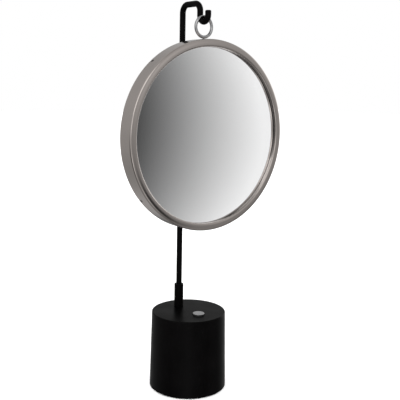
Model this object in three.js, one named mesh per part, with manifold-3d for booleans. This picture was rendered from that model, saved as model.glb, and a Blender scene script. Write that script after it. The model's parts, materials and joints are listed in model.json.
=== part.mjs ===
// Ring-hung table mirror on a height-adjustable rod and a weighted base.
// Units are millimetres. +Z is up, the mirror looks towards -Y, and the origin
// is the centre of the base's underside, on the surface it stands on.
import * as THREE from 'three';
import { mergeVertices } from 'three/addons/utils/BufferGeometryUtils.js';
import Module from 'manifold-3d';

const wasm = await Module();
wasm.setup();

// ---------------------------------------------------------------- dimensions
// Base
const BASE_R_TOP = 51.7;      // outer radius at the top panel
const BASE_R_BOTTOM = 54.2;   // outer radius at the lower rim
const BASE_TOP_Z = 108.9;     // top face of the base
const BASE_RIM_Z = 0.8;       // lower rim of the shell
const SHELL_WALL = 2.0;
const SHELL_EDGE_R = 1.4;     // outer radius of the top edge
const PAD_R = 50.0, PAD_T = 2.4;
const PLATE_R = 51.2, PLATE_Z = 2.6, PLATE_T = 1.8;
const BALLAST_Z0 = 4.7, BALLAST_Z1 = 40;
const SCREW_RING_R = 32;      // pitch radius of the three base screws

// Column: socket, bush and hook rod
const COLUMN_Y = 24;          // the rod's axis, behind the centre of the base
const ROD_R = 4.0;
const SOCKET_R = 6.5, SOCKET_BORE = 5.35, SOCKET_TOP = 142.3;
const SPIGOT_R = 5.2, SPIGOT_BORE = 4.35, SPIGOT_Z = 97.5;
const BUSH_R = 5.12, BUSH_BORE = 4.2;
const ROD_FOOT_Z = 27;
const ARCH_Z = 528.7;         // centreline of the arch's top bar
const ARCH_BEND = 10.6, ARCH_BEND_FRONT = 10.2;
const HOOK_Y = -22.8;         // lowest point of the hook, where the ring hangs
const HOOK_BEND = 8.45;       // centreline radius of the hook's U
const HOOK_BEND_Z = 513.25;   // centre of the U
const HOOK_TIP_Z = 518.85;

// Height lock: a plate that tilts on a pin and bites the rod
const PIN_Y = 12, PIN_Z = 88, PIN_R = 1.5;
const PLATE_LOCK_T = 2.5, PLATE_LOCK_W = 20;
const LOCK_TILT = 3.2545 * Math.PI / 180;

// Release button
const BUTTON_Y = -23.2, BUTTON_R = 8.0, BUTTON_TOP = 111.4;
const GUIDE_BORE = 8.3, GUIDE_R = 9.9;

// Ring and mirror
const RING_Z = 498.15, RING_R = 12.95, RING_WIRE = 2.1;
const MIRROR_Y = -32.4, MIRROR_Z = 357.2;
const FRAME_R = 125, FRAME_T = 24.3, SHEET = 1.2;
const OPENING_R = 115;        // clear radius inside the front bead
const GLASS_R = 119, GLASS_T = 3.0, GLASS_RECESS = 5.6;
const BOARD_R = 122.2;
const BACK_SCREW_R = 100;

// ------------------------------------------------------------------ helpers
const DEG = Math.PI / 180;

// One closed solid from any closed three.js geometry.
function solid(geometry) {
  const g = geometry.index ? geometry.toNonIndexed() : geometry.clone();
  for (const name of Object.keys(g.attributes)) if (name !== 'position') g.deleteAttribute(name);
  const merged = mergeVertices(g, 1e-4);
  const index = merged.index.array, p = merged.attributes.position.array, tri = [];
  let volume = 0;
  for (let i = 0; i < index.length; i += 3) {
    const [a, b, c] = [index[i], index[i + 1], index[i + 2]];
    if (a === b || b === c || c === a) continue;
    tri.push(a, b, c);
    const A = [p[3 * a], p[3 * a + 1], p[3 * a + 2]], B = [p[3 * b], p[3 * b + 1], p[3 * b + 2]], C = [p[3 * c], p[3 * c + 1], p[3 * c + 2]];
    volume += A[0] * (B[1] * C[2] - B[2] * C[1]) + A[1] * (B[2] * C[0] - B[0] * C[2]) + A[2] * (B[0] * C[1] - B[1] * C[0]);
  }
  if (volume < 0) for (let i = 0; i < tri.length; i += 3) [tri[i + 1], tri[i + 2]] = [tri[i + 2], tri[i + 1]];
  return new wasm.Manifold(new wasm.Mesh({ numProp: 3, vertProperties: new Float32Array(p), triVerts: new Uint32Array(tri) }));
}

function geometryOf(body) {
  const m = body.getMesh(), g = new THREE.BufferGeometry();
  const p = new Float32Array(m.numVert * 3);
  for (let i = 0; i < m.numVert; i++) for (let k = 0; k < 3; k++) p[3 * i + k] = m.vertProperties[m.numProp * i + k];
  g.setAttribute('position', new THREE.BufferAttribute(p, 3));
  g.setIndex(new THREE.BufferAttribute(new Uint32Array(m.triVerts), 1));
  const flat = g.toNonIndexed();
  flat.computeVertexNormals();
  return flat;
}

// A turned piece about Z. Profile points are [radius, z].
function turned(profile, segments = 32, start = 0) {
  const pts = profile.map(([r, z]) => new THREE.Vector2(r, z));
  const first = pts[0], last = pts[pts.length - 1];
  if (!(first.x === 0 && last.x === 0) && !first.equals(last)) pts.push(first.clone());
  const g = new THREE.LatheGeometry(pts, segments, start);
  g.rotateX(Math.PI / 2); // the lathe's axis becomes Z
  return solid(g);
}

// Points of an arc in a profile, from angle a to b in degrees.
function arc(cx, cz, r, a, b, n) {
  return Array.from({ length: n + 1 }, (_, i) => {
    const t = (a + (b - a) * i / n) * DEG;
    return [cx + r * Math.cos(t), cz + r * Math.sin(t)];
  });
}

const disc = (r, z0, z1, n = 32) => turned([[0, z0], [r, z0], [r, z1], [0, z1]], n);
const tube = (ro, ri, z0, z1, n = 32) => turned([[ri, z0], [ro, z0], [ro, z1], [ri, z1]], n);

function moved(body, x = 0, y = 0, z = 0) { return body.translate([x, y, z]); }

function box(x0, x1, y0, y1, z0, z1) {
  const g = new THREE.BoxGeometry(x1 - x0, y1 - y0, z1 - z0);
  g.translate((x0 + x1) / 2, (y0 + y1) / 2, (z0 + z1) / 2);
  return solid(g);
}

// A flat outline extruded up Z.
function plate(points, z0, z1) {
  const g = new THREE.ExtrudeGeometry(new THREE.Shape(points.map(([x, y]) => new THREE.Vector2(x, y))), { depth: z1 - z0, bevelEnabled: false });
  g.translate(0, 0, z0);
  return solid(g);
}

// A wire whose centreline is a list of stations, each a point and a tangent.
class Wire extends THREE.Curve {
  constructor(stations) { super(); this.stations = stations; }
  at(t) { return this.stations[Math.min(this.stations.length - 1, Math.max(0, Math.round(t * (this.stations.length - 1))))]; }
  getPoint(t) { return this.at(t).p.clone(); }
  getPointAt(t) { return this.at(t).p.clone(); }
  getTangentAt(t) { return this.at(t).d.clone(); }
  getTangent(t) { return this.at(t).d.clone(); }
}
function wire(stations, radius, sides) {
  const outline = Array.from({ length: sides }, (_, i) => new THREE.Vector2(radius * Math.cos(2 * Math.PI * i / sides), radius * Math.sin(2 * Math.PI * i / sides)));
  return solid(new THREE.ExtrudeGeometry(new THREE.Shape(outline), { steps: stations.length - 1, bevelEnabled: false, extrudePath: new Wire(stations) }));
}

// Stations of a bend in the YZ plane, about (y, z), from angle a to b in degrees.
function bend(y, z, r, a, b, n) {
  const s = Math.sign(b - a);
  return Array.from({ length: n + 1 }, (_, i) => {
    const t = (a + (b - a) * i / n) * DEG;
    return { p: new THREE.Vector3(0, y + r * Math.cos(t), z + r * Math.sin(t)), d: new THREE.Vector3(0, -s * Math.sin(t), s * Math.cos(t)) };
  });
}

// A round helical compression spring standing on Z.
function coil(r, w, z0, z1, turns, perTurn = 12, sides = 6) {
  const n = turns * perTurn, h = z1 - z0 - 2 * w, st = [];
  for (let i = 0; i <= n; i++) {
    const a = 2 * Math.PI * i / perTurn, k = h / n * i;
    st.push({ p: new THREE.Vector3(r * Math.cos(a), r * Math.sin(a), z0 + w + k), d: new THREE.Vector3(-Math.sin(a) * r, Math.cos(a) * r, h / turns / (2 * Math.PI)).normalize() });
  }
  return wire(st, w, sides);
}

// ---------------------------------------------------------------- materials
const finish = (color, roughness, metalness) => () => new THREE.MeshStandardMaterial({ color, roughness, metalness });
const blackPowder = finish(0x151415, 0.62, 0.2);
const castIron = finish(0x3a3a3c, 0.8, 0.5);
const zinc = finish(0x9a9ca0, 0.38, 0.9);
const springSteel = finish(0x6f7276, 0.3, 0.95);
const blackenedSteel = finish(0x1d1d1e, 0.45, 0.8);
const rubber = finish(0x1b1b1c, 0.9, 0.0);
const nylon = finish(0x161617, 0.5, 0.0);
const chrome = finish(0xd8dadc, 0.08, 1.0);
const satinNickel = finish(0x918c87, 0.28, 0.95);
const silvered = finish(0xcfd2d4, 0.03, 1.0);
const board = finish(0x7a5f45, 0.9, 0.0);
const foam = finish(0xb9b9b4, 0.95, 0.0);
const gasketBlack = finish(0x1c1c1d, 0.85, 0.0);
const backPaint = finish(0x1a1a1b, 0.7, 0.1);

function node(parent, name, body, material, place) {
  const mesh = new THREE.Mesh(geometryOf(body), material());
  mesh.name = name;
  if (place) place(mesh);
  parent.add(mesh);
  return mesh;
}

const assembly = new THREE.Group();
const base = new THREE.Group(), column = new THREE.Group(), lock = new THREE.Group();
const button = new THREE.Group(), hanger = new THREE.Group(), mirror = new THREE.Group();
assembly.add(base, column, button, hanger, mirror);
base.add(lock);
column.position.set(0, COLUMN_Y, 0);
button.position.set(0, BUTTON_Y, 0);
lock.position.set(0, PIN_Y, PIN_Z);
lock.rotation.x = -LOCK_TILT;               // at rest the front end stands high
hanger.position.set(0, HOOK_Y, RING_Z);
mirror.position.set(0, MIRROR_Y, MIRROR_Z);
mirror.rotation.x = Math.PI / 2;             // local +Z faces the user, local +Y is up

// --------------------------------------------------------------------- base
const shellR = z => BASE_R_BOTTOM + (BASE_R_TOP - BASE_R_BOTTOM) * (z - BASE_RIM_Z) / (BASE_TOP_Z - BASE_RIM_Z);
let shell = turned([
  [0, BASE_TOP_Z - SHELL_WALL], [shellR(BASE_TOP_Z - SHELL_WALL) - SHELL_WALL, BASE_TOP_Z - SHELL_WALL],
  [shellR(BASE_RIM_Z) - SHELL_WALL, BASE_RIM_Z], [shellR(BASE_RIM_Z), BASE_RIM_Z],
  ...arc(BASE_R_TOP - SHELL_EDGE_R, BASE_TOP_Z - SHELL_EDGE_R, SHELL_EDGE_R, 0, 90, 2), [0, BASE_TOP_Z],
], 60);
shell = shell.subtract(moved(disc(SPIGOT_R + 0.3, 100, 115, 32), 0, COLUMN_Y));
shell = shell.subtract(moved(disc(GUIDE_BORE, 100, 115, 40), 0, BUTTON_Y));
node(base, 'base_shell', shell, blackPowder);

const screwAt = [30, 150, 270].map(a => [SCREW_RING_R * Math.cos(a * DEG), SCREW_RING_R * Math.sin(a * DEG)]);

let weight = turned([
  [0, BALLAST_Z0], [shellR(BALLAST_Z0) - SHELL_WALL - 0.8, BALLAST_Z0], [shellR(BALLAST_Z1) - SHELL_WALL - 0.8, BALLAST_Z1 - 3],
  [shellR(BALLAST_Z1) - SHELL_WALL - 3.5, BALLAST_Z1], [0, BALLAST_Z1],
], 40);
weight = weight.subtract(moved(disc(7.0, 0, 60, 20), 0, COLUMN_Y));
for (const [x, y] of screwAt) weight = weight.subtract(moved(disc(2.35, 0, 18, 16), x, y));
node(base, 'ballast_weight', weight, castIron);

let floorPlate = disc(PLATE_R, PLATE_Z, PLATE_Z + PLATE_T, 48);
for (const [x, y] of screwAt) floorPlate = floorPlate.subtract(moved(turned([[0, PLATE_Z - 0.5], [5.0, PLATE_Z - 0.5], [2.5, PLATE_Z + PLATE_T + 0.3], [0, PLATE_Z + PLATE_T + 0.3]], 16), x, y));
node(base, 'bottom_plate', floorPlate, zinc);

let pad = turned([[0, 0], [PAD_R - 0.8, 0], [PAD_R, 0.8], [PAD_R, PAD_T], [0, PAD_T]], 48);
for (const [x, y] of screwAt) pad = pad.subtract(moved(disc(5.4, -1, PAD_T + 1, 16), x, y));
node(base, 'foot_pad', pad, rubber);

screwAt.forEach(([x, y], i) => {
  let screw = turned([[0, PLATE_Z + 0.1], [3.9, PLATE_Z + 0.1], [2.0, PLATE_Z + 1.9], [2.0, 15.2], [1.2, 16.4], [0, 16.4]], 16);
  screw = screw.subtract(box(-2.2, 2.2, -0.45, 0.45, PLATE_Z - 1, PLATE_Z + 1.2)).subtract(box(-0.45, 0.45, -2.2, 2.2, PLATE_Z - 1, PLATE_Z + 1.2));
  node(base, `bottom_screw_${i + 1}`, screw, zinc, m => m.position.set(x, y, 0));
});

// Socket: a turned tube whose spigot passes through the top panel
node(column, 'socket_tube', turned([
  [SPIGOT_BORE, SPIGOT_Z], [SPIGOT_R, SPIGOT_Z], [SPIGOT_R, BASE_TOP_Z + 0.15], [SOCKET_R, BASE_TOP_Z + 0.15],
  [SOCKET_R, SOCKET_TOP - 0.6], [SOCKET_R - 0.4, SOCKET_TOP], [SOCKET_BORE, SOCKET_TOP], [SOCKET_BORE, 111], [SPIGOT_BORE, 111],
], 32), blackPowder);
const hex = Array.from({ length: 6 }, (_, i) => [9.24 * Math.cos(i * 60 * DEG), 9.24 * Math.sin(i * 60 * DEG)]);
node(column, 'socket_nut', plate(hex, 98.6, 104.2).subtract(disc(SPIGOT_R + 0.3, 90, 120, 24)), zinc);

// Bracket under the top panel, clamped by the socket nut; its ears carry the pin
let bracket = box(-14.3, 14.3, 3, 44, 104.5, 106.6)
  .add(box(-14.3, -12.3, 5, 19, 83.5, 105.5)).add(box(12.3, 14.3, 5, 19, 83.5, 105.5));
bracket = bracket.subtract(moved(disc(SPIGOT_R + 0.3, 100, 110, 24), 0, COLUMN_Y));
{
  const drill = new THREE.CylinderGeometry(PIN_R + 0.25, PIN_R + 0.25, 60, 20);
  drill.rotateZ(Math.PI / 2);
  drill.translate(0, PIN_Y, PIN_Z);
  bracket = bracket.subtract(solid(drill));
}
node(base, 'lock_bracket', bracket, zinc);
{
  const pin = new THREE.CylinderGeometry(PIN_R, PIN_R, 31, 20);
  pin.rotateZ(Math.PI / 2);
  node(base, 'fulcrum_pin', solid(pin), springSteel, m => m.position.set(0, PIN_Y, PIN_Z));
}

// Lock plate, drawn level about its pin
const round = (w, y0, y1, r, n) => {
  const out = [];
  for (const [cx, cy, a] of [[w - r, y1 - r, 0], [-w + r, y1 - r, 90], [-w + r, y0 + r, 180], [w - r, y0 + r, 270]])
    for (let i = 0; i <= n; i++) out.push([cx + r * Math.cos((a + 90 * i / n) * DEG), cy + r * Math.sin((a + 90 * i / n) * DEG)]);
  return out;
};
const lockZ0 = PIN_R + 0.3;
let lockPlate = plate(round(PLATE_LOCK_W / 2, -42, 30.5, 4, 3), lockZ0, lockZ0 + PLATE_LOCK_T);
lockPlate = lockPlate.subtract(moved(disc(4.85, -10, 10, 32), 0, COLUMN_Y - PIN_Y));
node(lock, 'lock_plate', lockPlate, springSteel);

node(base, 'lock_spring', coil(2.7, 0.5, 91.3, 104.2, 4, 10, 6), springSteel, m => m.position.set(0, 38, 0));

// Button guide: a flanged cup under the panel
node(button, 'button_guide', turned([
  [2.9, 96.6], [GUIDE_R, 96.6], [GUIDE_R, 105.4], [12.2, 105.4], [12.2, 106.6], [GUIDE_BORE, 106.6], [GUIDE_BORE, 98.4], [2.9, 98.4],
], 40), zinc);
let cap = turned([[0, 101], [BUTTON_R, 101], ...arc(BUTTON_R - 0.7, BUTTON_TOP - 0.95, 0.7, 0, 80, 3), [0, BUTTON_TOP]], 40);
cap = cap.subtract(disc(2.75, 90, 107, 24));
node(button, 'button_cap', cap, chrome);
node(button, 'button_stem', turned([[0, 94.9], [1.9, 94.9], [2.5, 95.2], [2.5, 106.8], [0, 106.8]], 24), zinc);
node(button, 'button_clip', tube(5.0, 2.7, 95.45, 96.25, 24).subtract(box(-1.6, 1.6, -8, -1, 90, 100)), springSteel);

// ------------------------------------------------------------- bush and rod
node(column, 'guide_bush', turned([
  [BUSH_BORE, 111.3], [BUSH_R, 111.3], [BUSH_R, 141.7], [BUSH_R - 0.3, 142.0], [BUSH_BORE + 0.3, 142.0], [BUSH_BORE, 141.7],
], 32), nylon);

const hookFrontY = HOOK_Y - HOOK_BEND, hookBackY = HOOK_Y + HOOK_BEND;
const up = new THREE.Vector3(0, 0, 1);
const rodLine = [
  { p: new THREE.Vector3(0, COLUMN_Y, ROD_FOOT_Z), d: up },
  ...bend(COLUMN_Y - ARCH_BEND, ARCH_Z - ARCH_BEND, ARCH_BEND, 0, 90, 5),
  ...bend(hookBackY + ARCH_BEND_FRONT, ARCH_Z - ARCH_BEND_FRONT, ARCH_BEND_FRONT, 90, 180, 5),
  ...bend(HOOK_Y, HOOK_BEND_Z, HOOK_BEND, 0, -180, 12),
  { p: new THREE.Vector3(0, hookFrontY, HOOK_TIP_Z), d: up },
];
node(assembly, 'hook_rod', wire(rodLine, ROD_R, 20), blackPowder);
node(column, 'rod_stop_ring', tube(5.9, ROD_R + 0.3, 28.5, 30.5, 24).subtract(box(-2.0, 2.0, 3, 9, 20, 40)), springSteel);

// --------------------------------------------------------------------- ring
{
  const torus = new THREE.TorusGeometry(RING_R, RING_WIRE, 8, 36); // lies in XY
  torus.rotateX(Math.PI / 2);
  node(hanger, 'hanging_ring', solid(torus), chrome);
}
// Shouldered stud under the ring: neck outside the rim, peened head inside it
const rimTop = MIRROR_Z + FRAME_R - RING_Z;   // rim's outer face, seen from the ring's centre
node(hanger, 'ring_stud', turned([
  [0, rimTop - SHEET - 0.95], [2.0, rimTop - SHEET - 0.95], [2.3, rimTop - SHEET - 0.75], [2.3, rimTop - SHEET - 0.3], [1.4, rimTop - SHEET - 0.3],
  [1.4, rimTop + 0.25], [2.3, rimTop + 0.25], [2.3, rimTop + 0.75], [0, rimTop + 0.75],
], 24), chrome);

// ------------------------------------------------------------ mirror's head
const HALF = FRAME_T / 2, FRONT_R = 3.4, RETURN_Z = HALF - GLASS_RECESS;
let rim = turned([
  [FRAME_R - SHEET, -HALF], [FRAME_R, -HALF],
  ...arc(FRAME_R - FRONT_R, HALF - FRONT_R, FRONT_R, 0, 90, 3),
  ...arc(OPENING_R + 2.4, HALF - 2.4, 2.4, 90, 180, 2),
  [OPENING_R, RETURN_Z + 1.1], [OPENING_R + SHEET, RETURN_Z + 1.1],
  ...arc(OPENING_R + 2.4, HALF - 2.4, 1.2, 180, 90, 1),
  ...arc(FRAME_R - FRONT_R, HALF - FRONT_R, FRONT_R - SHEET, 90, 0, 2),
], 64);
const studHoleZ = -(HOOK_Y - MIRROR_Y); // the ring's plane, in the mirror's own depth
const radial = (r0, r1, rad, angle, z, n = 16) => {
  const g = new THREE.CylinderGeometry(rad, rad, r1 - r0, n);   // along Y
  g.translate(0, (r0 + r1) / 2, 0);
  g.rotateZ((angle - 90) * DEG);
  g.translate(0, 0, z);
  return solid(g);
};
rim = rim.subtract(radial(115.9, 130, 1.7, 90, studHoleZ, 20));
const RIM_SCREWS = [40.5, 130.5, 219.5, 309.5], RIM_SCREW_Z = -HALF + 5;
for (const a of RIM_SCREWS) rim = rim.subtract(radial(120, 130, 2.2, a, RIM_SCREW_Z));
node(mirror, 'frame_rim', rim, satinNickel);

node(mirror, 'glass_gasket', tube(GLASS_R, OPENING_R + 0.5, RETURN_Z + 0.2, RETURN_Z + 0.9, 56), gasketBlack);
node(mirror, 'mirror_glass', turned([[0, RETURN_Z - GLASS_T], [GLASS_R, RETURN_Z - GLASS_T], [GLASS_R, RETURN_Z], [0, RETURN_Z]], 64), silvered);
const foamTop = RETURN_Z - GLASS_T - 0.2, boardTop = -3.4;
node(mirror, 'foam_spacer', disc(GLASS_R - 1, boardTop + 0.2, foamTop, 48), foam);
const boardBottom = -HALF + 1.9;
let backing = disc(BOARD_R, boardBottom, boardTop, 60);
for (const a of RIM_SCREWS) backing = backing.subtract(radial(108, 130, 1.25, a, RIM_SCREW_Z, 12));
let cover = turned([[0, -HALF + 0.4], [BOARD_R - 0.6, -HALF + 0.4], [BOARD_R, -HALF + 1.0], [BOARD_R, -HALF + 1.6], [0, -HALF + 1.6]], 60);
// relief for the stud's head and clearance for its turning
const relief = radial(118.5, 124, 3.0, 90, studHoleZ, 20);
backing = backing.subtract(relief);
cover = cover.subtract(relief);
const backScrewAt = [0, 90, 180, 270].map(a => [BACK_SCREW_R * Math.cos((a + 45) * DEG), BACK_SCREW_R * Math.sin((a + 45) * DEG)]);
for (const [x, y] of backScrewAt) {
  backing = backing.subtract(moved(disc(1.25, -HALF, boardTop - 0.8, 12), x, y));
  cover = cover.subtract(moved(disc(1.8, -HALF - 1, 0, 14), x, y));
}
node(mirror, 'backing_board', backing, board);
node(mirror, 'back_cover', cover, backPaint);

RIM_SCREWS.forEach((a, i) => {
  // drawn along -Z from the rim's face, then laid along the radius
  const s = turned([[0, -14.2], [0.95, -12.6], [0.95, -2.4], [1.9, -0.35], [1.9, -0.1], [0, -0.1]], 14);
  const mesh = node(mirror, `rim_screw_${i + 1}`, s, blackenedSteel);
  const dir = new THREE.Vector3(Math.cos(a * DEG), Math.sin(a * DEG), 0);
  mesh.quaternion.setFromUnitVectors(up, dir);
  mesh.position.copy(dir).multiplyScalar(FRAME_R).add(new THREE.Vector3(0, 0, RIM_SCREW_Z));
});
backScrewAt.forEach(([x, y], i) => {
  const s = turned([[0, -HALF - 0.9], [1.6, -HALF - 0.75], [2.9, -HALF + 0.1], [2.9, -HALF + 0.2], [0.95, -HALF + 0.2], [0.95, -HALF + 6.6], [0, -HALF + 7.4]], 14);
  node(mirror, `back_screw_${i + 1}`, s, zinc, m => m.position.set(x, y, 0));
});

export default assembly;
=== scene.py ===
import bpy, bmesh, json, math
from mathutils import Vector, Matrix


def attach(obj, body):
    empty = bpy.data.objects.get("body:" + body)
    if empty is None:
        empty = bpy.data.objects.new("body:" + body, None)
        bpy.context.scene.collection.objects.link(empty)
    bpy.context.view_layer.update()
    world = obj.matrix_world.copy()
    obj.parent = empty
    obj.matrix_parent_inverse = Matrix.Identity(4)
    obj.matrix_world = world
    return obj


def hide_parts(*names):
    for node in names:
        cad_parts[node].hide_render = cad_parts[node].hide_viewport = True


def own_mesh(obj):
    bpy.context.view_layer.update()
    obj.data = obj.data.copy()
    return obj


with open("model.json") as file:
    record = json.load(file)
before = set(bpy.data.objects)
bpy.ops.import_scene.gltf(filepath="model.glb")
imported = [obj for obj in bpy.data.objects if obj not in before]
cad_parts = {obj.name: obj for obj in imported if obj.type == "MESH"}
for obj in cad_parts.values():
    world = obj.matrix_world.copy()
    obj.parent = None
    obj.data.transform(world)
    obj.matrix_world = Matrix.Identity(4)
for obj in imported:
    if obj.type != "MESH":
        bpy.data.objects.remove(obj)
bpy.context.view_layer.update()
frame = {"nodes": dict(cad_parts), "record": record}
N = frame["nodes"]

MM = 0.001
# ------------------------------------------------------------------ places (mm)
ROD_Y, ROD_R = 24.0, 4.0
HOOK_Y, HOOK_BEND, HOOK_BEND_Z, HOOK_TIP_Z = -22.8, 8.45, 513.25, 518.85
ARCH_Z, BEND_A, BEND_B = 528.7, 10.6, 10.2
RING_Z, RING_R, RING_W = 498.15, 12.95, 2.1
MIR_Y, MIR_Z = -32.4, 357.2
HALF, RIM_R, OPEN_R, SHEET = 12.15, 125.0, 115.0, 1.2
RETURN_Z, GLASS_R, GLASS_T = HALF - 5.6, 119.0, 3.0
BOARD_R = 122.2
RIM_SCREWS, RIM_SCREW_Z = (40.5, 130.5, 219.5, 309.5), -HALF + 5
TOP_Z, R_TOP, R_BOT, RIM_Z, WALL = 108.9, 51.7, 54.2, 0.8, 2.0
BTN_Y, BTN_R, BTN_TOP = -23.2, 8.0, 111.4
SCREW_RING = 32.0


# --------------------------------------------------------------------- meshes
def obj_from(bm, name, sharp=32.0, smooth=True):
    """An object from bm (in mm), with edges over `sharp` degrees kept crisp."""
    bmesh.ops.remove_doubles(bm, verts=bm.verts, dist=1e-5)
    bmesh.ops.recalc_face_normals(bm, faces=bm.faces)
    for f in bm.faces:
        f.smooth = smooth
    for e in bm.edges:
        e.smooth = not (len(e.link_faces) != 2 or e.calc_face_angle(0.0) > math.radians(sharp))
    bmesh.ops.scale(bm, vec=(MM, MM, MM), verts=bm.verts)
    me = bpy.data.meshes.new(name)
    bm.to_mesh(me)
    bm.free()
    o = bpy.data.objects.new(name, me)
    bpy.context.scene.collection.objects.link(o)
    return o


def arc(cx, cz, r, a, b, n):
    return [(cx + r * math.cos(math.radians(a + (b - a) * i / n)), cz + r * math.sin(math.radians(a + (b - a) * i / n))) for i in range(n + 1)]


def held(profile, closed, d=0.18, over=1.2):
    """The profile with a holding point close to each end of its long straight runs, so that flats stay flat under smooth shading."""
    out = []
    n = len(profile)
    for i in range(n if closed else n - 1):
        a, b = Vector(profile[i]), Vector(profile[(i + 1) % n])
        out.append(tuple(a))
        length = (b - a).length
        if length > over:
            k = min(d, length / 4)
            u = (b - a) / length
            for q in (a + u * k, b - u * k):
                if q.x > 1e-6:
                    out.append(tuple(q))
    if not closed:
        out.append(profile[-1])
    return out


def lathe_bm(profile, segs=96, hold=True, d=0.18):
    """A turned solid about Z, in mm. The profile is closed, or starts and ends on the axis."""
    on_axis = profile[0][0] < 1e-6 and profile[-1][0] < 1e-6
    p = held(profile, not on_axis, d) if hold else list(profile)
    bm = bmesh.new()
    rings = []
    for r, z in p:
        if r < 1e-6:
            rings.append([bm.verts.new((0, 0, z))])
        else:
            rings.append([bm.verts.new((r * math.cos(2 * math.pi * i / segs), r * math.sin(2 * math.pi * i / segs), z)) for i in range(segs)])
    m = len(rings)
    for k in range(m - 1 if on_axis else m):
        a, b = rings[k], rings[(k + 1) % m]
        for i in range(segs):
            j = (i + 1) % segs
            if len(a) == 1 and len(b) == 1:
                continue
            if len(a) == 1:
                bm.faces.new((a[0], b[j], b[i]))
            elif len(b) == 1:
                bm.faces.new((a[i], a[j], b[0]))
            else:
                bm.faces.new((a[i], a[j], b[j], b[i]))
    return bm


def place(bm, m):
    bmesh.ops.transform(bm, matrix=m, verts=bm.verts)
    return bm


def lathe(name, profile, segs=96, at=(0, 0, 0), m=None, hold=True, d=0.18, sharp=32.0):
    bm = lathe_bm(profile, segs, hold, d)
    place(bm, Matrix.Translation(Vector(at)) @ (m or Matrix.Identity(4)))
    return obj_from(bm, name, sharp)


# the mirror's own frame: local +Z looks at the user (-Y), local +Y is up
HEAD = Matrix.Translation((0, MIR_Y, MIR_Z)) @ Matrix.Rotation(math.pi / 2, 4, "X")


def cut(o, cutters):
    """Cuts solids out of o and applies the result to its mesh."""
    for c in cutters:
        mod = o.modifiers.new("cut", "BOOLEAN")
        mod.operation, mod.solver, mod.object = "DIFFERENCE", "EXACT", c
        c.hide_render = True
    bpy.context.view_layer.update()
    dg = bpy.context.evaluated_depsgraph_get()
    me = bpy.data.meshes.new_from_object(o.evaluated_get(dg))
    o.modifiers.clear()
    old = o.data
    o.data = me
    bpy.data.meshes.remove(old)
    for c in cutters:
        m = c.data
        bpy.data.objects.remove(c)
        bpy.data.meshes.remove(m)
    return o


def crisp(o, sharp=32.0):
    """Marks edges over an angle as sharp and keeps all faces smooth."""
    bm = bmesh.new()
    bm.from_mesh(o.data)
    bmesh.ops.remove_doubles(bm, verts=bm.verts, dist=1e-8)
    for f in bm.faces:
        f.smooth = True
    for e in bm.edges:
        e.smooth = not (len(e.link_faces) != 2 or e.calc_face_angle(0.0) > math.radians(sharp))
    bm.to_mesh(o.data)
    bm.free()
    return o


def steer(o, rule):
    """Gives corners exact normals where rule(face centre, face normal, vertex) returns one, in metres, so that holes leave no dents in the shading."""
    me = o.data
    me.update()
    normals = [tuple(c.vector) for c in me.corner_normals]
    for p in me.polygons:
        for li in p.loop_indices:
            n = rule(p.center, p.normal, me.vertices[me.loops[li].vertex_index].co)
            if n is not None:
                normals[li] = tuple(n)
    me.normals_split_custom_set(normals)
    return o


def sweep(name, stations, radius, sides=32, caps=True):
    """A round bar along stations, each (point, tangent, radius factor), in the YZ plane."""
    bm = bmesh.new()
    rings = []
    for p, t, k in stations:
        t = Vector(t).normalized()
        side = Vector((1, 0, 0))
        n = t.cross(side).normalized()
        rings.append([bm.verts.new(Vector(p) + (side * math.cos(2 * math.pi * i / sides) + n * math.sin(2 * math.pi * i / sides)) * radius * k) for i in range(sides)])
    for a, b in zip(rings, rings[1:]):
        for i in range(sides):
            j = (i + 1) % sides
            bm.faces.new((a[i], a[j], b[j], b[i]))
    if caps:
        bm.faces.new(list(reversed(rings[0])))
        bm.faces.new(rings[-1])
    return obj_from(bm, name, 50.0)


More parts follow.
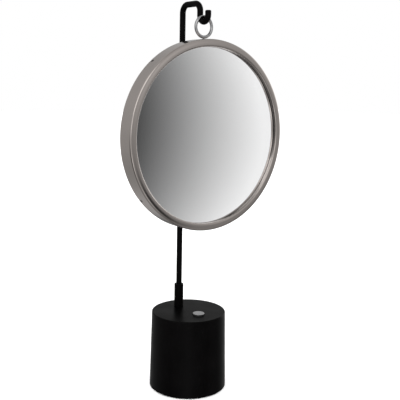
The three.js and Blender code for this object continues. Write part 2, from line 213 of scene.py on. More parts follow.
# ------------------------------------------------------------------- materials
class Mat:
    """A small builder for procedural materials."""

    def __init__(self, name, **principled):
        self.m = bpy.data.materials.new(name)
        self.m.use_nodes = True
        self.nt = self.m.node_tree
        self.nt.nodes.clear()
        self.out = self.nt.nodes.new("ShaderNodeOutputMaterial")
        self.b = self.nt.nodes.new("ShaderNodeBsdfPrincipled")
        self.nt.links.new(self.b.outputs[0], self.out.inputs[0])
        for k, v in principled.items():
            self.set(k, v)
        self.tc = self.nt.nodes.new("ShaderNodeTexCoord")

    def set(self, k, v):
        k = {"color": "Base Color", "rough": "Roughness", "metal": "Metallic", "spec": "Specular IOR Level", "ior": "IOR", "coat": "Coat Weight",
             "coat_rough": "Coat Roughness", "aniso": "Anisotropic", "sheen": "Sheen Weight", "sheen_rough": "Sheen Roughness"}.get(k, k)
        s = self.b.inputs[k]
        s.default_value = (*v, 1.0) if isinstance(v, (tuple, list)) and len(v) == 3 and s.type == "RGBA" else v

    def node(self, kind, **kw):
        n = self.nt.nodes.new(kind)
        for k, v in kw.items():
            if k.startswith("i_"):
                continue
            setattr(n, k, v)
        return n

    def link(self, a, b):
        self.nt.links.new(a, b)

    def math(self, op, a, b=None, c=None, clamp=False):
        n = self.node("ShaderNodeMath", operation=op, use_clamp=clamp)
        for i, v in enumerate((a, b, c)):
            if v is None:
                continue
            if isinstance(v, (int, float)):
                n.inputs[i].default_value = v
            else:
                self.link(v, n.inputs[i])
        return n.outputs[0]

    def noise(self, scale, detail=2.0, rough=0.5, distortion=0.0, vec=None):
        n = self.node("ShaderNodeTexNoise")
        n.inputs["Scale"].default_value = scale
        n.inputs["Detail"].default_value = detail
        n.inputs["Roughness"].default_value = rough
        n.inputs["Distortion"].default_value = distortion
        self.link(vec or self.tc.outputs["Object"], n.inputs["Vector"])
        return n.outputs[0]

    def voronoi(self, scale, feature="F1", vec=None, out=0):
        n = self.node("ShaderNodeTexVoronoi", feature=feature)
        n.inputs["Scale"].default_value = scale
        self.link(vec or self.tc.outputs["Object"], n.inputs["Vector"])
        return n.outputs[out]

    def ramp(self, fac, stops):
        n = self.node("ShaderNodeValToRGB")
        e = n.color_ramp.elements
        while len(e) > 1:
            e.remove(e[-1])
        for i, (p, c) in enumerate(stops):
            el = e[0] if i == 0 else e.new(p)
            el.position = p
            c = (c, c, c) if isinstance(c, (int, float)) else c
            el.color = (*c, 1.0)
        self.link(fac, n.inputs[0])
        return n.outputs[0]

    def remap(self, fac, lo, hi, a=0.0, b=1.0):
        n = self.node("ShaderNodeMapRange", clamp=True)
        n.inputs["From Min"].default_value, n.inputs["From Max"].default_value = a, b
        n.inputs["To Min"].default_value, n.inputs["To Max"].default_value = lo, hi
        self.link(fac, n.inputs[0])
        return n.outputs[0]

    def mix(self, fac, a, b):
        n = self.node("ShaderNodeMix", data_type="RGBA")
        for s, v in ((n.inputs[0], fac), (n.inputs[6], a), (n.inputs[7], b)):
            if isinstance(v, (int, float)):
                s.default_value = v
            elif isinstance(v, (tuple, list)):
                s.default_value = (*v, 1.0) if len(v) == 3 else v
            else:
                self.link(v, s)
        return n.outputs[2]

    def bump(self, height, strength, distance, normal=None):
        n = self.node("ShaderNodeBump")
        n.inputs["Strength"].default_value = strength
        n.inputs["Distance"].default_value = distance
        self.link(height, n.inputs["Height"])
        if normal is not None:
            self.link(normal, n.inputs["Normal"])
        return n.outputs[0]

    def to(self, k, sock):
        k = {"color": "Base Color", "rough": "Roughness", "normal": "Normal"}.get(k, k)
        self.link(sock, self.b.inputs[k])

    def around(self, centre, axis="Y", k_round=1.0, k_other=1.0):
        """A coordinate that runs round an axis: (angle, along, radius), for marks left by turning and polishing."""
        sub = self.node("ShaderNodeVectorMath", operation="SUBTRACT")
        self.link(self.tc.outputs["Object"], sub.inputs[0])
        sub.inputs[1].default_value = centre
        sep = self.node("ShaderNodeSeparateXYZ")
        self.link(sub.outputs[0], sep.inputs[0])
        x, y, z = sep.outputs
        u, v, w = (x, z, y) if axis == "Y" else (x, y, z)
        ang = self.math("ARCTAN2", v, u)
        rad = self.math("SQRT", self.math("ADD", self.math("MULTIPLY", u, u), self.math("MULTIPLY", v, v)))
        comb = self.node("ShaderNodeCombineXYZ")
        self.link(self.math("MULTIPLY", self.math("SINE", ang), k_round), comb.inputs[0])
        self.link(self.math("MULTIPLY", w, k_other), comb.inputs[1])
        self.link(self.math("ADD", self.math("MULTIPLY", rad, k_other), self.math("MULTIPLY", self.math("COSINE", ang), k_round)), comb.inputs[2])
        return comb.outputs[0]


def powder_coat(name, color=(0.0015, 0.0013, 0.0014), rough=0.34, spec=0.045, grain=2100.0):
    """Fine-textured satin powder coat: small rounded grains, soft patches of gloss, a little dust."""
    m = Mat(name, rough=rough, spec=spec)
    fine = m.noise(grain, 3.0, 0.55)
    cells = m.voronoi(grain * 0.55, "SMOOTH_F1")
    patch = m.noise(34.0, 2.0)
    h = m.math("ADD", m.math("MULTIPLY", fine, 0.6), m.math("MULTIPLY", cells, 0.5))
    b1 = m.bump(h, 0.22, 0.00006)
    b2 = m.bump(m.noise(230.0, 2.0), 0.10, 0.00012, b1)
    m.to("normal", b2)
    m.to("rough", m.math("ADD", m.remap(patch, rough - 0.05, rough + 0.06, 0.3, 0.7), m.remap(fine, -0.03, 0.03, 0.3, 0.7)))
    speck = m.remap(m.noise(900.0, 1.0, 0.3), 0.0, 1.0, 0.70, 0.78)
    base = m.mix(m.remap(patch, 0.0, 1.0, 0.35, 0.7), tuple(c * 0.85 for c in color), tuple(c * 1.25 for c in color))
    m.to("color", m.mix(speck, base, tuple(c * 2.6 + 0.002 for c in color)))
    return m.m


def satin_nickel():
    """Warm grey nickel, polished round the frame, with faint turning lines and handling haze."""
    m = Mat("satin_nickel", metal=1.0)
    ring = m.around((0, MIR_Y * MM, MIR_Z * MM), "Y", 0.9, 620.0)
    lines = m.noise(3.0, 4.0, 0.65, vec=ring)
    haze = m.noise(14.0, 3.0, 0.55)
    fine = m.noise(420.0, 2.0)
    m.to("rough", m.math("ADD", m.remap(haze, 0.10, 0.16, 0.3, 0.7), m.remap(lines, -0.02, 0.025, 0.3, 0.7)))
    m.to("color", m.mix(m.remap(haze, 0.0, 1.0, 0.3, 0.7), (0.535, 0.484, 0.456), (0.575, 0.524, 0.494)))
    m.to("normal", m.bump(fine, 0.03, 0.00002, m.bump(lines, 0.05, 0.00002)))
    return m.m


def chrome():
    m = Mat("chrome_plate", metal=1.0)
    haze = m.noise(60.0, 3.0, 0.6)
    m.to("rough", m.remap(haze, 0.045, 0.11, 0.3, 0.7))
    m.to("color", m.mix(m.remap(m.noise(210.0, 2.0), 0.0, 1.0, 0.35, 0.65), (0.48, 0.48, 0.485), (0.56, 0.56, 0.57)))
    m.to("normal", m.bump(m.noise(330.0, 2.0), 0.06, 0.00003))
    return m.m


def mirror_silver():
    """The silver on the back of the glass, with the faintest unevenness."""
    m = Mat("silver_layer", metal=1.0)
    smear = m.noise(9.0, 4.0, 0.62, 0.6)
    m.to("rough", m.remap(smear, 0.0, 0.012, 0.45, 0.75))
    m.to("color", m.mix(m.remap(smear, 0.0, 1.0, 0.35, 0.7), (0.888, 0.889, 0.892), (0.900, 0.901, 0.904)))
    return m.m


def clear_glass():
    """Clear float glass with a few wiping marks."""
    m = Mat("silvered_glass", spec=0.5)
    m.set("IOR", 1.5)
    m.set("Transmission Weight", 1.0)
    wipe = m.noise(22.0, 4.0, 0.6, 1.2)
    m.to("rough", m.remap(wipe, 0.0, 0.004, 0.5, 0.75))
    m.to("color", m.mix(m.noise(5.0, 1.0), (0.988, 0.988, 0.988), (0.994, 0.994, 0.994)))
    return m.m


def glass_edge():
    """The painted back and edge of the looking glass: grey-green copper-free backing paint."""
    m = Mat("glass_back_paint", spec=0.4)
    n = m.noise(500.0, 3.0)
    m.to("rough", m.remap(n, 0.38, 0.52, 0.3, 0.7))
    m.to("color", m.mix(m.noise(40.0, 3.0), (0.10, 0.13, 0.125), (0.14, 0.165, 0.155)))
    m.to("normal", m.bump(n, 0.1, 0.00005))
    return m.m


def zinc():
    m = Mat("zinc_plate", metal=1.0)
    sp = m.voronoi(260.0, "F1", out=1)
    n = m.noise(120.0, 3.0)
    m.to("rough", m.remap(n, 0.26, 0.42, 0.3, 0.7))
    m.to("color", m.mix(m.math("MULTIPLY", m.remap(n, 0.0, 1.0, 0.3, 0.7), 0.8), (0.50, 0.51, 0.52), (0.62, 0.62, 0.60)))
    m.to("normal", m.bump(m.noise(900.0, 2.0), 0.08, 0.00003))
    return m.m


def blackened_steel():
    """Blackened screw steel, oiled, lighter and darker in random patches."""
    m = Mat("blackened_steel", metal=0.9)
    n = m.noise(420.0, 3.0)
    m.to("rough", m.remap(n, 0.34, 0.48, 0.3, 0.7))
    m.to("color", m.mix(n, (0.034, 0.034, 0.036), (0.068, 0.067, 0.066)))
    m.to("normal", m.bump(m.noise(900.0, 2.0), 0.1, 0.00003))
    return m.m


def spring_steel():
    m = Mat("spring_steel", metal=1.0)
    n = m.noise(240.0, 3.0)
    m.to("rough", m.remap(n, 0.22, 0.36, 0.3, 0.7))
    m.to("color", m.mix(n, (0.26, 0.265, 0.275), (0.38, 0.385, 0.40)))
    m.to("normal", m.bump(m.noise(700.0, 2.0), 0.06, 0.00003))
    return m.m


def cast_iron():
    m = Mat("cast_iron", metal=0.75)
    n = m.noise(420.0, 5.0, 0.65)
    m.to("rough", m.remap(n, 0.55, 0.8, 0.3, 0.7))
    m.to("color", m.mix(m.noise(60.0, 4.0), (0.085, 0.08, 0.075), (0.15, 0.135, 0.12)))
    m.to("normal", m.bump(n, 0.5, 0.0003))
    return m.m


def rubber():
    m = Mat("black_rubber", spec=0.25)
    n = m.noise(1400.0, 3.0)
    m.to("rough", m.remap(n, 0.74, 0.88, 0.3, 0.7))
    m.to("color", m.mix(m.noise(70.0, 3.0), (0.012, 0.012, 0.0125), (0.024, 0.0238, 0.0235)))
    ring = m.around((0, 0, 0), "Z", 0.0, 1.0)
    w = m.node("ShaderNodeTexWave", wave_type="RINGS", rings_direction="Z")
    w.inputs["Scale"].default_value = 190.0
    m.link(m.tc.outputs["Object"], w.inputs["Vector"])
    m.to("normal", m.bump(w.outputs[1], 0.35, 0.0003, m.bump(n, 0.25, 0.00006)))
    return m.m


def nylon():
    m = Mat("black_nylon", spec=0.4)
    n = m.noise(800.0, 3.0)
    m.to("rough", m.remap(n, 0.38, 0.5, 0.3, 0.7))
    m.to("color", m.mix(m.noise(90.0, 2.0), (0.014, 0.014, 0.015), (0.02, 0.02, 0.021)))
    m.to("normal", m.bump(n, 0.1, 0.00005))
    return m.m


def fibreboard():
    m = Mat("fibreboard", spec=0.2)
    n = m.noise(1100.0, 5.0, 0.7)
    m.to("rough", m.remap(n, 0.82, 0.95, 0.3, 0.7))
    m.to("color", m.mix(m.math("ADD", m.math("MULTIPLY", n, 0.7), m.math("MULTIPLY", m.noise(60.0, 3.0), 0.3)), (0.20, 0.13, 0.075), (0.42, 0.30, 0.19)))
    m.to("normal", m.bump(n, 0.4, 0.00015))
    return m.m


def foam():
    m = Mat("white_foam", rough=0.92, spec=0.15)
    v = m.voronoi(1500.0)
    m.to("color", m.mix(v, (0.50, 0.50, 0.48), (0.66, 0.66, 0.64)))
    m.to("normal", m.bump(v, 0.5, 0.0002))
    return m.m


def gasket():
    m = Mat("gasket_black", spec=0.2)
    n = m.noise(1700.0, 3.0)
    m.to("rough", m.remap(n, 0.8, 0.92, 0.3, 0.7))
    m.to("color", m.mix(m.noise(120.0), (0.008, 0.008, 0.008), (0.014, 0.014, 0.014)))
    m.to("normal", m.bump(n, 0.2, 0.00006))
    return m.m


M = {
    "black_powder_coat": powder_coat("black_powder_coat"),
    "back_black": powder_coat("back_black", (0.009, 0.0088, 0.0088), 0.55, 0.16, 1700.0),
    "satin_nickel": satin_nickel(),
    "chrome_plate": chrome(),
    "silvered_glass": clear_glass(),
    "zinc_plated_steel": zinc(),
    "spring_steel": spring_steel(),
    "blackened_steel": blackened_steel(),
    "cast_iron_raw": cast_iron(),
    "black_rubber": rubber(),
    "black_nylon": nylon(),
    "fibreboard": fibreboard(),
    "white_foam": foam(),
    "gasket_black": gasket(),
}
SLOT = {s["node"]: s["material_slot"] for s in frame["record"]["subparts"]}
BODY = {n: b for b, ns in frame["record"]["behaviour"]["bodies"].items() for n in ns}

# every CAD node gets its procedural material; those replaced below are hidden
for name, o in N.items():
    o.data.materials.clear()
    o.data.materials.append(M[SLOT[name]])


def stands_for(o, node, mat=None):
    """o replaces one CAD node: same body, same slot."""
    if mat is not False:
        o.data.materials.clear()
        o.data.materials.append(mat or M[SLOT[node]])
    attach(o, BODY[node])
    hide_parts(node)
    return o


# ------------------------------------------------------------------------ base
def shell_r(z):
    return R_BOT + (R_TOP - R_BOT) * (z - RIM_Z) / (TOP_Z - RIM_Z)


E = 1.3
shell = lathe("base_shell_v", [
    (0, TOP_Z - WALL), (shell_r(TOP_Z) - WALL - 1.6, TOP_Z - WALL), *arc(shell_r(TOP_Z) - WALL - 1.6, TOP_Z - WALL - 1.6, 1.6, 80, 10, 4),
    (shell_r(RIM_Z) - WALL, RIM_Z + 0.35), (shell_r(RIM_Z) - WALL + 0.4, RIM_Z), (shell_r(RIM_Z) - 0.45, RIM_Z), (shell_r(RIM_Z) - 0.05, RIM_Z + 0.4),
    *arc(R_TOP - E + 0.0, TOP_Z - E, E, 2, 90, 9), (0, TOP_Z)], 224, d=0.35)
hole_a = lathe("hole_a", [(0, 100), (5.5, 100), (5.5, 108.4), (5.9, 109.2), (6.4, 111), (0, 111)], 64, at=(0, ROD_Y, 0), hold=False)
hole_b = lathe("hole_b", [(0, 100), (8.3, 100), (8.3, TOP_Z - 0.55), *arc(8.85, TOP_Z - 0.55, 0.55, 180, 100, 4), (8.9, 111), (0, 111)], 96, at=(0, BTN_Y, 0), hold=False)
cut(shell, [hole_a, hole_b])
crisp(shell, 24)


def top_flat(c, n, v):
    return (0, 0, 1) if n.z > 0.9999 and abs(c.z - TOP_Z * MM) < 2e-5 else None


steer(shell, top_flat)
stands_for(shell, "base_shell")

screws_at = [(SCREW_RING * math.cos(math.radians(a)), SCREW_RING * math.sin(math.radians(a))) for a in (30, 150, 270)]
floor_plate = lathe("bottom_plate_v", [(0, 2.6), (51.0, 2.6), (51.2, 2.8), (51.2, 4.2), (51.0, 4.4), (0, 4.4)], 160)
cut(floor_plate, [lathe("h%d" % i, [(0, 2.1), (5.0, 2.1), (2.5, 4.7), (0, 4.7)], 40, at=(x, y, 0), hold=False) for i, (x, y) in enumerate(screws_at)])
stands_for(crisp(floor_plate), "bottom_plate")

pad = lathe("foot_pad_v", [(0, 0), (45.6, 0), (46.2, 0.55), (47.6, 0.55), (48.2, 0), (49.2, 0), *arc(49.2, 0.8, 0.8, -80, 0, 4), (50.0, 2.4), (0, 2.4)], 160, d=0.3)
cut(pad, [lathe("p%d" % i, [(0, -1), (6.2, -1), (5.4, 0.35), (5.4, 3), (0, 3)], 48, at=(x, y, 0), hold=False) for i, (x, y) in enumerate(screws_at)])
stands_for(crisp(pad), "foot_pad")

for i, (x, y) in enumerate(screws_at):
    prof = [(0, 4.3), (1.5, 4.1), (1.6, 2.82), (1.75, 2.7), (3.2, 2.7), (3.85, 2.78), (3.9, 2.95), (2.0, 4.5)]
    for k in range(14):
        prof += [(1.62, 4.7 + k * 0.75), (2.0, 4.95 + k * 0.75), (2.0, 5.05 + k * 0.75), (1.62, 5.3 + k * 0.75)]
    prof += [(1.5, 15.4), (1.1, 16.3), (0, 16.4)]
    s = lathe("bottom_screw_%d_v" % (i + 1), prof, 40, at=(x, y, 0), hold=False)
    stands_for(crisp(s), "bottom_screw_%d" % (i + 1))

socket = lathe("socket_tube_v", [
    (4.35, 97.5), (5.2, 97.5), (5.2, 109.0), (6.25, 109.0), (6.5, 109.2), (6.5, 141.55), *arc(5.95, 141.75, 0.55, 0, 90, 5), (5.6, 142.3), (5.35, 142.15), (5.35, 111.0), (4.35, 111.0)],
    72, at=(0, ROD_Y, 0), d=0.25)
stands_for(socket, "socket_tube")
bush = lathe("guide_bush_v", [(4.2, 111.3), (5.12, 111.3), (5.12, 141.75), (4.95, 142.0), (4.5, 142.0), *arc(4.55, 141.65, 0.35, 100, 180, 3)], 64, at=(0, ROD_Y, 0))
stands_for(bush, "guide_bush")

# ---------------------------------------------------------------------- button
cap = lathe("button_cap_v", [
    (0, 107.0), (2.75, 107.0), (2.75, 101.0), (7.6, 101.0), (8.0, 101.3), (8.0, BTN_TOP - 0.55), *arc(7.6, BTN_TOP - 0.55, 0.4, 5, 78, 6),
    (7.2, BTN_TOP - 0.12), (5.4, BTN_TOP - 0.07), (2.8, BTN_TOP - 0.02), (0, BTN_TOP)], 128, at=(0, BTN_Y, 0), hold=False)
stands_for(cap, "button_cap")
# painted shade: the chrome cap's side wall takes black nylon so that it reads dark, standing in for the dark reflection
# and shade under the top
cap.data.materials.append(M["black_nylon"])
for p in cap.data.polygons:
    if abs(p.normal.z) < 0.2 and p.center.z < (BTN_TOP - 0.5) * MM:
        p.material_index = 1

# ------------------------------------------------------------------------- rod
st = [((0, ROD_Y, 27.0), (0, 0, 1), 0.86), ((0, ROD_Y, 27.5), (0, 0, 1), 0.985), ((0, ROD_Y, 28.0), (0, 0, 1), 1.0), ((0, ROD_Y, 200.0), (0, 0, 1), 1.0), ((0, ROD_Y, 380.0), (0, 0, 1), 1.0), ((0, ROD_Y, 505.0), (0, 0, 1), 1.0)]


def bend(cy, cz, r, a, b, n):
    s = 1 if b > a else -1
    out = []
    for i in range(n + 1):
        t = math.radians(a + (b - a) * i / n)
        out.append(((0, cy + r * math.cos(t), cz + r * math.sin(t)), (0, -s * math.sin(t), s * math.cos(t)), 1.0))
    return out


back_y, front_y = HOOK_Y + HOOK_BEND, HOOK_Y - HOOK_BEND
st += bend(ROD_Y - BEND_A, ARCH_Z - BEND_A, BEND_A, 0, 90, 16)
st += bend(back_y + BEND_B, ARCH_Z - BEND_B, BEND_B, 90, 180, 16)
st += bend(HOOK_Y, HOOK_BEND_Z, HOOK_BEND, 0, -180, 30)
tip = HOOK_TIP_Z
st += [((0, front_y, tip - 2.2), (0, 0, 1), 1.0)] + [((0, front_y, tip - 1.7 + 1.7 * math.sin(math.radians(a))), (0, 0, 1), 1 - 0.42 * (1 - math.cos(math.radians(a)))) for a in (0, 15, 30, 45, 60, 75, 90)]
rod = sweep("hook_rod_v", st, ROD_R, 40)
stands_for(rod, "hook_rod")

# ------------------------------------------------------------------------ ring
bm = bmesh.new()
NU, NV = 144, 28
grid = []
for i in range(NU):
    u = 2 * math.pi * i / NU
    w = RING_W
    grid.append([bm.verts.new(((RING_R + w * math.cos(2 * math.pi * j / NV)) * math.cos(u), HOOK_Y + w * math.sin(2 * math.pi * j / NV), RING_Z + (RING_R + w * math.cos(2 * math.pi * j / NV)) * math.sin(u))) for j in range(NV)])
for i in range(NU):
    for j in range(NV):
        a, b = grid[i], grid[(i + 1) % NU]
        bm.faces.new((a[j], b[j], b[(j + 1) % NV], a[(j + 1) % NV]))
ring = obj_from(bm, "hanging_ring_v", 60)
stands_for(ring, "hanging_ring")

ring_foot = RING_Z - RING_R - RING_W   # lowest point of the ring
rim_top = MIR_Z + RIM_R
stud = lathe("ring_stud_v", [
    (0, rim_top - SHEET - 0.95), (1.9, rim_top - SHEET - 0.95), (2.3, rim_top - SHEET - 0.7), (2.3, rim_top - SHEET - 0.3), (1.4, rim_top - SHEET - 0.3),
    (1.4, rim_top + 0.22), (2.2, rim_top + 0.22), (2.3, rim_top + 0.35), (2.15, rim_top + 0.6), (1.5, rim_top + 0.8), (1.15, ring_foot + 0.25), (0, ring_foot + 0.3)],
    48, at=(0, HOOK_Y, 0), hold=False, sharp=40)
stands_for(stud, "ring_stud")

# ----------------------------------------------------------------- mirror head
RR = 2.5            # inner roll
C1, C2, CA = 2.9, 20.0, 78.0   # corner radius, crown radius, and the angle where one meets the other
c2r = RIM_R - C1 * (1 - math.cos(math.radians(CA))) - C2 * math.cos(math.radians(CA))
c1z = HALF - C2 * (1 - math.sin(math.radians(CA))) - C1 * math.sin(math.radians(CA))
prof = [(RIM_R - SHEET, -HALF), (RIM_R - 0.25, -HALF), (RIM_R, -HALF + 0.25),
        *arc(RIM_R - C1, c1z, C1, 0, CA, 16), *arc(c2r, HALF - C2, C2, CA, 90, 9)[1:],
        *arc(OPEN_R + RR, HALF - RR, RR, 90, 180, 14),
        (OPEN_R, RETURN_Z + 0.62), (OPEN_R + 0.2, RETURN_Z + 0.45), (OPEN_R + SHEET, RETURN_Z + 0.45), (OPEN_R + SHEET, RETURN_Z + 1.0),
        *arc(OPEN_R + RR, HALF - RR, RR - SHEET, 180, 95, 6), *arc(RIM_R - C1 - 1.0, c1z - 1.0, C1, 80, 0, 6)]
rim_bm = lathe_bm(prof, 288, True, 0.3)
place(rim_bm, HEAD)
rim = obj_from(rim_bm, "frame_rim_v", 40)


def radial(name, r0, r1, rad, angle, z, taper=None, segs=32):
    pr = [(0, r0), (rad, r0), (rad, r1 - 1.35), (taper or rad, r1 + 0.03), (taper or rad, r1 + 3), (0, r1 + 3)]
    b = lathe_bm(pr, segs, False)
    a = math.radians(angle)
    d = Vector((math.cos(a), math.sin(a), 0))
    q = Vector((0, 0, 1)).rotation_difference(d).to_matrix().to_4x4()
    place(b, HEAD @ Matrix.Translation((0, 0, z)) @ q)
    return obj_from(b, name, 20)


cutters = [radial("rc%d" % i, 118.5, 125.0, 1.25, a, RIM_SCREW_Z, 1.75) for i, a in enumerate(RIM_SCREWS)]
stud_z = -(HOOK_Y - MIR_Y)
cutters.append(radial("rs", 118.5, 125.0, 1.7, 90, stud_z, 1.72))
cut(rim, cutters)
crisp(rim, 30)


def outer_wall(c, n, v):
    dx, dz = v.x, v.z - MIR_Z * MM
    r = math.hypot(dx, dz)
    cr = math.hypot(c.x, c.z - MIR_Z * MM)
    if abs(r - RIM_R * MM) < 3e-6 and cr > (RIM_R - 0.05) * MM and abs(n.y) < 0.01:
        return (dx / r, 0, dz / r)
    return None


steer(rim, outer_wall)
stands_for(rim, "frame_rim")

SILVER_Z = RETURN_Z - 0.4
glass = lathe("mirror_glass_v", [(0, SILVER_Z), (GLASS_R, SILVER_Z), (GLASS_R, RETURN_Z - 0.1), (GLASS_R - 0.1, RETURN_Z), (0, RETURN_Z)], 224, m=HEAD, sharp=20)
stands_for(glass, "mirror_glass")
glass.data.materials.append(mirror_silver())
silver_face = (MIR_Y - SILVER_Z) * MM
for p in glass.data.polygons:
    if abs(p.center.y - silver_face) < 1e-6:
        p.material_index = 1
glass_back = lathe("mirror_glass_back_v", [(0, RETURN_Z - GLASS_T), (GLASS_R - 0.3, RETURN_Z - GLASS_T), (GLASS_R, RETURN_Z - GLASS_T + 0.3), (GLASS_R, SILVER_Z - 0.05), (0, SILVER_Z - 0.05)], 224, m=HEAD, sharp=20)
stands_for(glass_back, "mirror_glass", glass_edge())

gk = lathe("glass_gasket_v", [(OPEN_R + SHEET + 0.2, RETURN_Z + 0.15), (GLASS_R, RETURN_Z + 0.15), (GLASS_R, RETURN_Z + 0.85), (OPEN_R + SHEET + 0.3, RETURN_Z + 0.85)], 192, m=HEAD)
stands_for(gk, "glass_gasket")

back_screws = [(100 * math.cos(math.radians(a + 45)), 100 * math.sin(math.radians(a + 45))) for a in (0, 90, 180, 270)]
Z0 = -HALF + 0.4
cover = lathe("back_cover_v", [(0, Z0), (86.0, Z0), (86.5, Z0 + 0.06), (87.3, Z0 + 0.42), (88.1, Z0 + 0.42), (88.9, Z0 + 0.06), (89.4, Z0), (BOARD_R - 1.0, Z0), *arc(BOARD_R - 0.8, Z0 + 0.8, 0.8, -85, 0, 5), (BOARD_R, Z0 + 1.2), (0, Z0 + 1.2)], 224, m=HEAD, d=0.3)
cov_cut = [lathe("bs%d" % i, [(0, -HALF - 2), (3.6, -HALF - 2), (3.3, Z0 + 0.001), (1.8, Z0 + 0.5), (1.8, 0), (0, 0)], 40, m=HEAD @ Matrix.Translation((x, y, 0)), hold=False) for i, (x, y) in enumerate(back_screws)]
cov_cut.append(radial("rel", 118.5, 124.0, 3.0, 90, stud_z))
cut(cover, cov_cut)
stands_for(crisp(cover), "back_cover")

for i, a in enumerate(RIM_SCREWS):
    t = math.radians(a)
    d = Vector((math.cos(t), math.sin(t), 0))
    q = Vector((0, 0, 1)).rotation_difference(d).to_matrix().to_4x4()
    mtx = HEAD @ Matrix.Translation((0, 0, RIM_SCREW_Z)) @ q @ Matrix.Translation((0, 0, RIM_R))
    pr = [(0, -14.2)]
    pr += [(0.55, -13.4)]
    for k in range(13):
        z = -12.9 + k * 0.8
        pr += [(0.72, z), (0.97, z + 0.3), (0.97, z + 0.38), (0.72, z + 0.68)]
    pr += [(0.95, -2.3), (1.55, -0.4), (1.66, -0.14), (2.05, -0.05), (2.1, 0.01), (1.95, 0.05), (1.4, 0.07), (0.9, 0.07), (0.82, 0.0), (0.78, -0.5), (0, -0.62)]
    s = lathe("rim_screw_%d_v" % (i + 1), pr, 36, m=mtx, hold=False)
    stands_for(crisp(s), "rim_screw_%d" % (i + 1))

for i, (x, y) in enumerate(back_screws):
    mtx = HEAD @ Matrix.Translation((x, y, -HALF)) @ Matrix.Rotation(math.pi, 4, "X")
    pr = [(0, -7.4), (0.5, -6.8)]
    for k in range(7):
        z = -6.5 + k * 0.8
        pr += [(0.72, z), (0.97, z + 0.3), (0.97, z + 0.38), (0.72, z + 0.68)]
    pr += [(0.95, -0.55), (0.95, -0.2), (2.75, -0.2), (2.9, -0.08), (2.86, 0.12), (2.5, 0.48), (1.9, 0.7), (1.35, 0.8), (1.2, 0.72), (1.12, 0.1), (0, -0.06)]
    s = lathe("back_screw_%d_v" % (i + 1), pr, 40, m=mtx, hold=False, sharp=40)
    stands_for(crisp(s), "back_screw_%d" % (i + 1))

# ---------------------------------------------- lock spring, drawn at one length; in use it shortens as the plate tilts
bm = bmesh.new()
TURNS, STEP, WIRE_N, COIL_R, WIRE_R = 4, 36, 14, 2.7, 0.5
SPRING_Y, SPRING_Z0, SPRING_Z1 = 38.0, 91.3, 104.2
rise = SPRING_Z1 - SPRING_Z0 - 2 * WIRE_R
rings = []
for i in range(TURNS * STEP + 1):
    a = 2 * math.pi * i / STEP
    u = i / (TURNS * STEP)
    # the end turns lie closer together than the middle ones
    k = u - 0.07 * math.sin(2 * math.pi * u)
    out = Vector((math.cos(a), math.sin(a), 0))
    run = Vector((-math.sin(a), math.cos(a), rise / TURNS / (2 * math.pi * COIL_R))).normalized()
    up = run.cross(out).normalized()
    c = Vector((0, SPRING_Y, SPRING_Z0 + WIRE_R + rise * k)) + out * COIL_R
    rings.append([bm.verts.new(c + (out * math.cos(2 * math.pi * j / WIRE_N) + up * math.sin(2 * math.pi * j / WIRE_N)) * WIRE_R) for j in range(WIRE_N)])
for a, b in zip(rings, rings[1:]):
    for j in range(WIRE_N):
        k = (j + 1) % WIRE_N
        bm.faces.new((a[j], a[k], b[k], b[j]))
bm.faces.new(list(reversed(rings[0])))
bm.faces.new(rings[-1])
bmesh.ops.recalc_face_normals(bm, faces=bm.faces)
spring = obj_from(bm, "lock_spring_v", 60)
stands_for(spring, "lock_spring")
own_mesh(spring)

# ------------------------------------------------------------- floor and lights
fl = bpy.data.meshes.new("floor")
fl.from_pydata([(-8, -8, 0), (8, -8, 0), (8, 8, 0), (-8, 8, 0)], [], [(0, 1, 2, 3)])
floor = bpy.data.objects.new("floor", fl)
bpy.context.scene.collection.objects.link(floor)
floor.location.z = -0.0002
floor.visible_glossy = False
floor.visible_transmission = False
m = Mat("floor_paper", rough=0.9, spec=0.1)
m.to("color", m.mix(m.noise(40.0, 3.0), (0.90, 0.90, 0.90), (0.92, 0.92, 0.92)))
m.to("normal", m.bump(m.noise(900.0, 3.0), 0.05, 0.0001))
floor.data.materials.append(m.m)

world = bpy.data.worlds.new("studio")
bpy.context.scene.world = world
world.use_nodes = True
wt = world.node_tree
wt.nodes.clear()
wo = wt.nodes.new("ShaderNodeOutputWorld")
lpw = wt.nodes.new("ShaderNodeLightPath")
tcw = wt.nodes.new("ShaderNodeTexCoord")
sepw = wt.nodes.new("ShaderNodeSeparateXYZ")
wt.links.new(tcw.outputs["Generated"], sepw.inputs[0])
DX, DY, DZ = sepw.outputs


def wm(op, a, b=None, clamp=False):
    n = wt.nodes.new("ShaderNodeMath")
    n.operation, n.use_clamp = op, clamp
    for i, v in enumerate((a, b)):
        if v is None:
            continue
        if isinstance(v, (int, float)):
            n.inputs[i].default_value = v
        else:
            wt.links.new(v, n.inputs[i])
    return n.outputs[0]


def lobe(az, el, width, stretch=None):
    """1 in a direction (azimuth from -Y towards +X, elevation, degrees), fading over `width` degrees."""
    a, e = math.radians(az), math.radians(el)
    d = wt.nodes.new("ShaderNodeVectorMath")
    d.operation = "DOT_PRODUCT"
    wt.links.new(tcw.outputs["Generated"], d.inputs[0])
    d.inputs[1].default_value = (math.sin(a) * math.cos(e), -math.cos(a) * math.cos(e), math.sin(e))
    k = 1 - math.cos(math.radians(width))
    return wm("POWER", math.e, wm("DIVIDE", wm("SUBTRACT", d.outputs["Value"], 1.0), k))


def ramp_w(fac, stops):
    n = wt.nodes.new("ShaderNodeValToRGB")
    e = n.color_ramp.elements
    while len(e) > 1:
        e.remove(e[-1])
    for i, (p, v) in enumerate(stops):
        el = e[0] if i == 0 else e.new(p)
        el.position, el.color = p, (v, v, v, 1)
    wt.links.new(fac, n.inputs[0])
    return n.outputs[0]


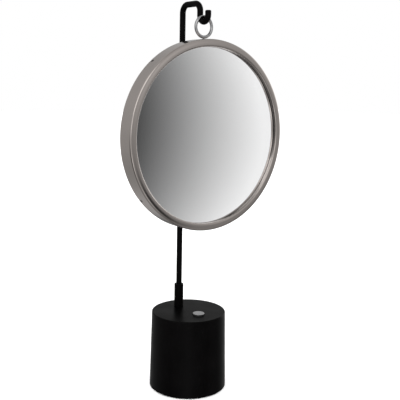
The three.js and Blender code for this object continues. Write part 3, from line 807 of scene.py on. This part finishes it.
# the studio as metal and paint see it: a soft pale room, a little darker towards the floor
room = ramp_w(wm("ADD", wm("MULTIPLY", DZ, 0.5), 0.5), [(0.0, 0.28), (0.18, 0.33), (0.37, 0.32), (0.47, 0.36), (0.53, 0.42), (0.67, 0.47), (0.80, 0.49), (1.0, 0.55)])
dark = wm("MULTIPLY", lobe(23, -21, 9.0), 0.42)
for az_, el_, w_, d_ in ((-97, -22, 15, 0.30), (72, -30, 14, 0.28), (5, 78, 13, 0.30), (-75, 62, 10, 0.25), (112, 50, 12, 0.28), (176, 30, 18, 0.065), (112, -58, 14, 0.35), (-84, -40, 13, 0.26), (15, -54, 12, 0.2), (149, -26, 7.5, 0.22)):
    dark = wm("ADD", dark, wm("MULTIPLY", lobe(az_, el_, w_), d_))
side = wm("MULTIPLY", lobe(103, 8, 15), 1.65)
for az_, el_, w_, d_ in ((78, 8, 13, 0.85), (84, -14, 10, 0.12), (125, -5, 11, 0.8), (118, -22, 12, 0.18), (175, -34, 13, 0.12), (-150, -10, 13, 0.07)):
    side = wm("ADD", side, wm("MULTIPLY", lobe(az_, el_, w_), d_))
front = wm("MULTIPLY", lobe(-12, 32, 8), 0.7)
for az_, el_, w_, d_ in ((-38, 6, 8, 0.9), (-36, -22, 9, 0.9), (-50, 5, 30, 0.22), (26, 10, 11, 0.20), (-10, -42, 9, 0.5)):
    front = wm("ADD", front, wm("MULTIPLY", lobe(az_, el_, w_), d_))
room = wm("MAXIMUM", wm("SUBTRACT", wm("ADD", wm("ADD", room, side), front), dark), 0.03)

# the studio as the looking glass sees it: dark to its left, white to its right
azd = wm("DIVIDE", wm("SUBTRACT", wm("MULTIPLY", wm("ARCTAN2", DX, wm("MULTIPLY", DY, -1.0)), 180 / math.pi), 38.0), 6.0)
U = wm("MINIMUM", wm("MAXIMUM", azd, -1.3), 1.25)
V = wm("MINIMUM", wm("MAXIMUM", wm("DIVIDE", wm("ADD", wm("MULTIPLY", wm("ARCSINE", DZ), 180 / math.pi), 3.0), 7.0), -1.6), 1.4)
tone = wm("ADD", 0.68, wm("MULTIPLY", U, 0.357))
tone = wm("ADD", tone, wm("MULTIPLY", V, 0.0077))
tone = wm("ADD", tone, wm("MULTIPLY", wm("MULTIPLY", U, U), -0.048))
tone = wm("ADD", tone, wm("MULTIPLY", wm("MULTIPLY", V, V), 0.115))
tone = wm("ADD", tone, wm("MULTIPLY", wm("MULTIPLY", U, V), 0.034))
tone = wm("MINIMUM", wm("MAXIMUM", tone, 0.3), 0.935)
far_left = ramp_w(wm("ADD", wm("MULTIPLY", DZ, 0.5), 0.5), [(0.0, 0.44), (0.25, 0.36), (0.47, 0.34), (0.56, 0.46), (0.66, 0.78), (1.0, 0.78)])
turn = wm("MULTIPLY", wm("SUBTRACT", -1.5, azd), 0.35, True)
tone = wm("ADD", wm("MULTIPLY", tone, wm("SUBTRACT", 1.0, turn)), wm("MULTIPLY", far_left, turn))
seen = wm("DIVIDE", wm("SUBTRACT", wm("POWER", tone, 2.25), 0.016), 0.84)


def background(strength, color):
    n = wt.nodes.new("ShaderNodeBackground")
    n.inputs["Color"].default_value = (*color, 1)
    if isinstance(strength, (int, float)):
        n.inputs["Strength"].default_value = strength
    else:
        wt.links.new(strength, n.inputs["Strength"])
    return n.outputs[0]


def choose(fac, a, b):
    n = wt.nodes.new("ShaderNodeMixShader")
    wt.links.new(fac, n.inputs[0])
    wt.links.new(a, n.inputs[1])
    wt.links.new(b, n.inputs[2])
    return n.outputs[0]


FLOOR_LIGHT = 1.9
o1 = choose(lpw.outputs["Is Diffuse Ray"], background(room, (1.0, 1.0, 1.0)), background(FLOOR_LIGHT, (1, 1, 1)))
o2 = choose(lpw.outputs["Is Transmission Ray"], o1, background(seen, (1, 1, 1)))
o3 = choose(lpw.outputs["Is Camera Ray"], o2, background(1.0, (1, 1, 1)))
wt.links.new(o3, wo.inputs[0])


def area(name, loc, target, size, power, glossy=True, color=(1, 1, 1)):
    l = bpy.data.lights.new(name, "AREA")
    l.shape = "RECTANGLE"
    l.size, l.size_y = size
    l.energy = power
    l.color = color
    o = bpy.data.objects.new(name, l)
    o.location = loc
    o.rotation_mode = "QUATERNION"
    o.rotation_quaternion = (Vector(target) - Vector(loc)).to_track_quat("-Z", "Y")
    o.visible_camera = False
    o.visible_glossy = glossy
    bpy.context.scene.collection.objects.link(o)
    return o


area("key", (-0.95, -0.95, 1.35), (0, 0, 0.35), (1.2, 1.2), 2.6, glossy=True)

# ---------------------------------------------------------------------- camera
AZ, DIST, HGT = math.radians(36.968), 0.948, 0.427
PAN, PITCH, ROLL, F_PX = math.radians(0.799), math.radians(9.564), math.radians(1.104), 697.672
cam_data = bpy.data.cameras.new("camera")
cam = bpy.data.objects.new("camera", cam_data)
bpy.context.scene.collection.objects.link(cam)
bpy.context.scene.camera = cam
th = AZ + PAN
fwd = Vector((math.sin(th) * math.cos(PITCH), math.cos(th) * math.cos(PITCH), -math.sin(PITCH)))
right = Vector((math.cos(th), -math.sin(th), 0))
upv = right.cross(fwd)
r2 = right * math.cos(ROLL) + upv * math.sin(ROLL)
u2 = upv * math.cos(ROLL) - right * math.sin(ROLL)
rot = Matrix((r2, u2, -fwd)).transposed()
cam.matrix_world = Matrix.Translation((-math.sin(AZ) * DIST, -math.cos(AZ) * DIST, HGT)) @ rot.to_4x4()
cam_data.sensor_width = 36.0
cam_data.sensor_fit = "HORIZONTAL"
cam_data.lens = F_PX / 400.0 * 36.0
cam_data.clip_start, cam_data.clip_end = 0.01, 50

bpy.context.scene.view_settings.view_transform = "Standard"
bpy.context.scene.view_settings.look = "None"
